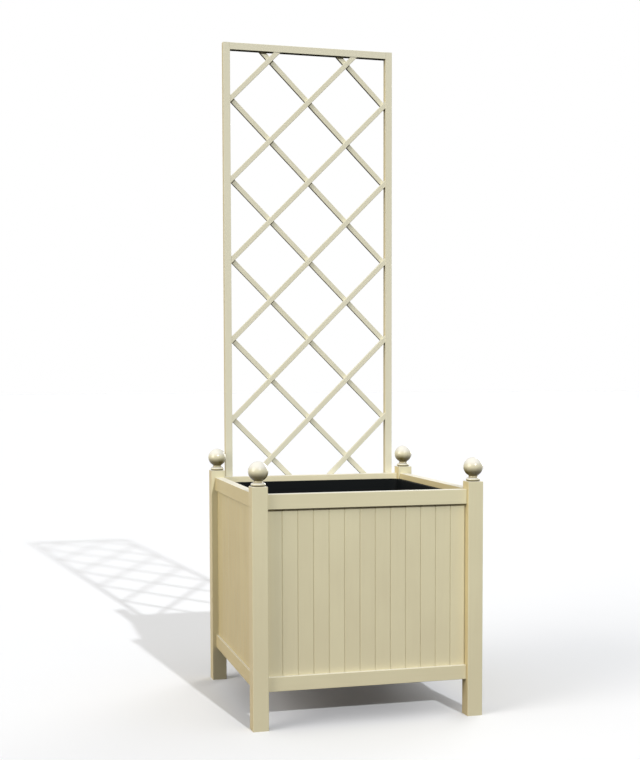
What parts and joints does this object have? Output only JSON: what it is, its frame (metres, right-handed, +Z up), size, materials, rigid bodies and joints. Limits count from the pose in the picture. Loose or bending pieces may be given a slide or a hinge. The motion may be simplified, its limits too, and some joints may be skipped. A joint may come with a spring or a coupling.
{
  "type": "planter with trellis",
  "caption": "Square painted timber planter on four legs with ball finials, boarded sides, a lift-out liner and a tall diamond trellis fixed to its back.",
  "frame": {"origin": "on the ground, in the middle of the outline: the ball finials in front, the trellis behind", "axes": "+Z up, the trellis stands along it; the front looks along -Y; +X to the right seen from the front"},
  "size_m": [0.61, 0.625, 1.815],
  "materials": {
    "cream_paint": "satin cream paint on planed timber",
    "bare_timber": "sawn and treated, unpainted",
    "liner_plastic": "matt black moulded plastic",
    "screw_steel": "zinc plated"
  },
  "bodies": {
    "planter": {"boards_back": "cream_paint", "boards_front": "cream_paint", "boards_left": "cream_paint", "boards_right": "cream_paint", "bottom_rail_back": "cream_paint", "bottom_rail_front": "cream_paint", "bottom_rail_left": "cream_paint", "bottom_rail_right": "cream_paint", "finial_back_left": "cream_paint", "finial_back_right": "cream_paint", "finial_front_left": "cream_paint", "finial_front_right": "cream_paint", "finial_screws": "screw_steel", "floor_bearer_left": "bare_timber", "floor_bearer_right": "bare_timber", "floor_slats": "bare_timber", "lattice_front_01": "cream_paint", "lattice_front_02": "cream_paint", "lattice_front_03": "cream_paint", "lattice_front_04": "cream_paint", "lattice_front_05": "cream_paint", "lattice_front_06": "cream_paint", "lattice_front_07": "cream_paint", "lattice_front_08": "cream_paint", "lattice_front_09": "cream_paint", "lattice_rear_01": "cream_paint", "lattice_rear_02": "cream_paint", "lattice_rear_03": "cream_paint", "lattice_rear_04": "cream_paint", "lattice_rear_05": "cream_paint", "lattice_rear_06": "cream_paint", "lattice_rear_07": "cream_paint", "lattice_rear_08": "cream_paint", "lattice_rear_09": "cream_paint", "post_back_left": "cream_paint", "post_back_right": "cream_paint", "post_front_left": "cream_paint", "post_front_right": "cream_paint", "top_rail_back": "cream_paint", "top_rail_front": "cream_paint", "top_rail_left": "cream_paint", "top_rail_right": "cream_paint", "trellis_rail_bottom": "cream_paint", "trellis_rail_top": "cream_paint", "trellis_screws": "screw_steel", "trellis_stile_left": "cream_paint", "trellis_stile_right": "cream_paint"},
    "liner": {"liner": "liner_plastic"}
  },
  "joints": [
    {"name": "liner_lift", "type": "slide", "parent": "planter", "child": "liner", "axis": [0, 0, 1], "range_m": [0, 0.56]}
  ]
}
